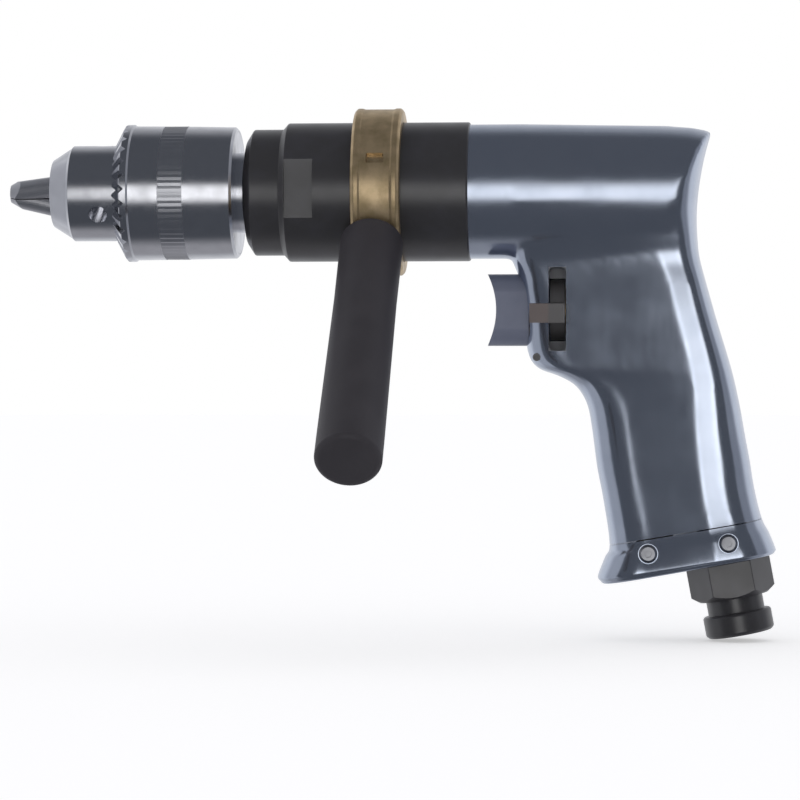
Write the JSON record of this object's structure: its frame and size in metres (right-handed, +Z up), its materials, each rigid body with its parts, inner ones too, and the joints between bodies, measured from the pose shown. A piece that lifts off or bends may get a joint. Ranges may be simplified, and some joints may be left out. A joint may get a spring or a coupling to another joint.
{
  "type": "air drill",
  "caption": "Pistol-grip air drill with a keyed three-jaw chuck, geared spindle, vane motor, side handle on a clamp ring, trigger, reverse lever and threaded air inlet.",
  "frame": {"origin": "on the spindle axis, in the plane of the chuck nose's front face", "axes": "+X along the spindle axis from the chuck to the rear, +Z up, the grip hangs towards -Z, the side handle points to -Y"},
  "size_m": [0.2531, 0.1404, 0.1744],
  "materials": {
    "polished_aluminium": "polished casting",
    "black_steel": "black oxide, satin",
    "dark_screw": "black oxide",
    "chrome_steel": "bright chrome",
    "ground_steel": "turned and polished",
    "jaw_steel": "hardened, dark",
    "gear_steel": "ground",
    "brass": "satin cast",
    "black_rubber": "moulded satin",
    "grey_plastic": "satin",
    "seal_rubber": "moulded",
    "spring_steel": "drawn wire",
    "dark_bronze": "dark satin",
    "bearing_steel": "polished",
    "vane_fibre": "pressed phenolic",
    "liner_iron": "machined",
    "gasket_fibre": "pressed paper",
    "felt": "pressed felt"
  },
  "bodies": {
    "housing": {"motor_housing": "polished_aluminium", "gear_case": "black_steel", "ring_gear": "gear_steel", "cylinder_liner": "liner_iron", "front_end_plate": "liner_iron", "rear_end_plate": "liner_iron", "motor_gasket": "gasket_fibre", "spindle_bearing_outer": "bearing_steel", "spindle_seal": "seal_rubber", "front_bearing_outer": "bearing_steel", "rear_bearing_outer": "bearing_steel", "base_cap": "polished_aluminium", "base_screws": "dark_screw", "inlet_bushing": "black_steel", "inlet_screen": "bearing_steel", "muffler": "felt", "valve_seat": "brass", "valve_spring": "spring_steel", "lock_pin": "dark_screw"},
    "spindle": {"spindle": "gear_steel", "chuck_body": "ground_steel", "chuck_screw": "dark_screw", "second_planet_pins": "bearing_steel", "second_carrier_plate": "gear_steel", "spindle_bearing_inner": "bearing_steel", "spindle_bearing_balls": "bearing_steel"},
    "chuck_sleeve": {"chuck_sleeve": "chrome_steel", "chuck_nut": "gear_steel"},
    "jaw_1": {"jaw_1": "jaw_steel"},
    "jaw_2": {"jaw_2": "jaw_steel"},
    "jaw_3": {"jaw_3": "jaw_steel"},
    "second_planet_1": {"second_planet_1": "gear_steel"},
    "second_planet_2": {"second_planet_2": "gear_steel"},
    "second_planet_3": {"second_planet_3": "gear_steel"},
    "first_carrier": {"first_carrier": "gear_steel", "first_planet_pins": "bearing_steel", "first_carrier_plate": "gear_steel"},
    "first_planet_1": {"first_planet_1": "gear_steel"},
    "first_planet_2": {"first_planet_2": "gear_steel"},
    "first_planet_3": {"first_planet_3": "gear_steel"},
    "rotor": {"rotor": "gear_steel", "rotor_pinion": "gear_steel", "vanes": "vane_fibre", "front_bearing_inner": "bearing_steel", "front_bearing_balls": "bearing_steel", "rear_bearing_inner": "bearing_steel", "rear_bearing_balls": "bearing_steel"},
    "trigger": {"trigger": "grey_plastic", "trigger_stem": "gear_steel", "throttle_valve": "seal_rubber"},
    "reverse_lever": {"reverse_lever": "dark_bronze", "reverse_valve": "brass"},
    "handle_clamp": {"handle_clamp": "brass"},
    "side_handle": {"side_handle": "black_rubber", "handle_stud": "gear_steel"}
  },
  "joints": [
    {"name": "spindle_spin", "type": "hinge", "parent": "housing", "child": "spindle", "pos_m": [0.0649, 0, 0], "axis": [1, 0, 0], "continuous": true},
    {"name": "first_carrier_spin", "type": "hinge", "parent": "housing", "child": "first_carrier", "pos_m": [0.103, 0, 0], "axis": [1, 0, 0], "continuous": true},
    {"name": "rotor_spin", "type": "hinge", "parent": "housing", "child": "rotor", "pos_m": [0.15, 0, 0], "axis": [1, 0, 0], "continuous": true},
    {"name": "second_planet_1_spin", "type": "hinge", "parent": "spindle", "child": "second_planet_1", "pos_m": [0.0923, 0, -0.0108], "axis": [1, 0, 0], "continuous": true},
    {"name": "second_planet_2_spin", "type": "hinge", "parent": "spindle", "child": "second_planet_2", "pos_m": [0.0923, 0.00935, 0.0054], "axis": [1, 0, 0], "continuous": true},
    {"name": "second_planet_3_spin", "type": "hinge", "parent": "spindle", "child": "second_planet_3", "pos_m": [0.0923, -0.00935, 0.0054], "axis": [1, 0, 0], "continuous": true},
    {"name": "first_planet_1_spin", "type": "hinge", "parent": "first_carrier", "child": "first_planet_1", "pos_m": [0.1105, 0, -0.0108], "axis": [1, 0, 0], "continuous": true},
    {"name": "first_planet_2_spin", "type": "hinge", "parent": "first_carrier", "child": "first_planet_2", "pos_m": [0.1105, 0.00935, 0.0054], "axis": [1, 0, 0], "continuous": true},
    {"name": "first_planet_3_spin", "type": "hinge", "parent": "first_carrier", "child": "first_planet_3", "pos_m": [0.1105, -0.00935, 0.0054], "axis": [1, 0, 0], "continuous": true},
    {"name": "chuck_sleeve_turn", "type": "hinge", "parent": "spindle", "child": "chuck_sleeve", "pos_m": [0.045, 0, 0], "axis": [1, 0, 0], "range_deg": [0, 5400]},
    {"name": "jaw_1_slide", "type": "slide", "parent": "spindle", "child": "jaw_1", "axis": [0.9744, 0, -0.225], "range_m": [0, 0.03]},
    {"name": "jaw_2_slide", "type": "slide", "parent": "spindle", "child": "jaw_2", "axis": [0.9744, 0.1948, 0.1125], "range_m": [0, 0.03]},
    {"name": "jaw_3_slide", "type": "slide", "parent": "spindle", "child": "jaw_3", "axis": [0.9744, -0.1948, 0.1125], "range_m": [0, 0.03]},
    {"name": "trigger_pull", "type": "slide", "parent": "housing", "child": "trigger", "axis": [1, 0, 0], "range_m": [0, 0.005], "stiffness_N_per_m": 1500, "springref_m": -0.004, "deforming": ["valve_spring"]},
    {"name": "reverse_lever_swing", "type": "hinge", "parent": "housing", "child": "reverse_lever", "pos_m": [0.1671, 0, -0.039], "axis": [1, 0, 0], "range_deg": [-22, 12]},
    {"name": "side_handle_swivel", "type": "hinge", "parent": "housing", "child": "handle_clamp", "pos_m": [0.1086, 0, 0], "axis": [1, 0, 0], "continuous": true},
    {"name": "side_handle_twist", "type": "hinge", "parent": "handle_clamp", "child": "side_handle", "pos_m": [0.1075, 0, 0], "axis": [0, -0.7771, -0.6293], "range_deg": [0, 360]}
  ],
  "couplings": [
    {"joint": "first_carrier_spin", "follows": "spindle_spin", "ratio": 4.5},
    {"joint": "rotor_spin", "follows": "spindle_spin", "ratio": 20.25},
    {"joint": "second_planet_1_spin", "follows": "spindle_spin", "ratio": -2.8},
    {"joint": "second_planet_2_spin", "follows": "spindle_spin", "ratio": -2.8},
    {"joint": "second_planet_3_spin", "follows": "spindle_spin", "ratio": -2.8},
    {"joint": "first_planet_1_spin", "follows": "spindle_spin", "ratio": -12.6},
    {"joint": "first_planet_2_spin", "follows": "spindle_spin", "ratio": -12.6},
    {"joint": "first_planet_3_spin", "follows": "spindle_spin", "ratio": -12.6},
    {"joint": "jaw_1_slide", "follows": "chuck_sleeve_turn", "m_per_rad": 0.00031831},
    {"joint": "jaw_2_slide", "follows": "chuck_sleeve_turn", "m_per_rad": 0.00031831},
    {"joint": "jaw_3_slide", "follows": "chuck_sleeve_turn", "m_per_rad": 0.00031831}
  ]
}
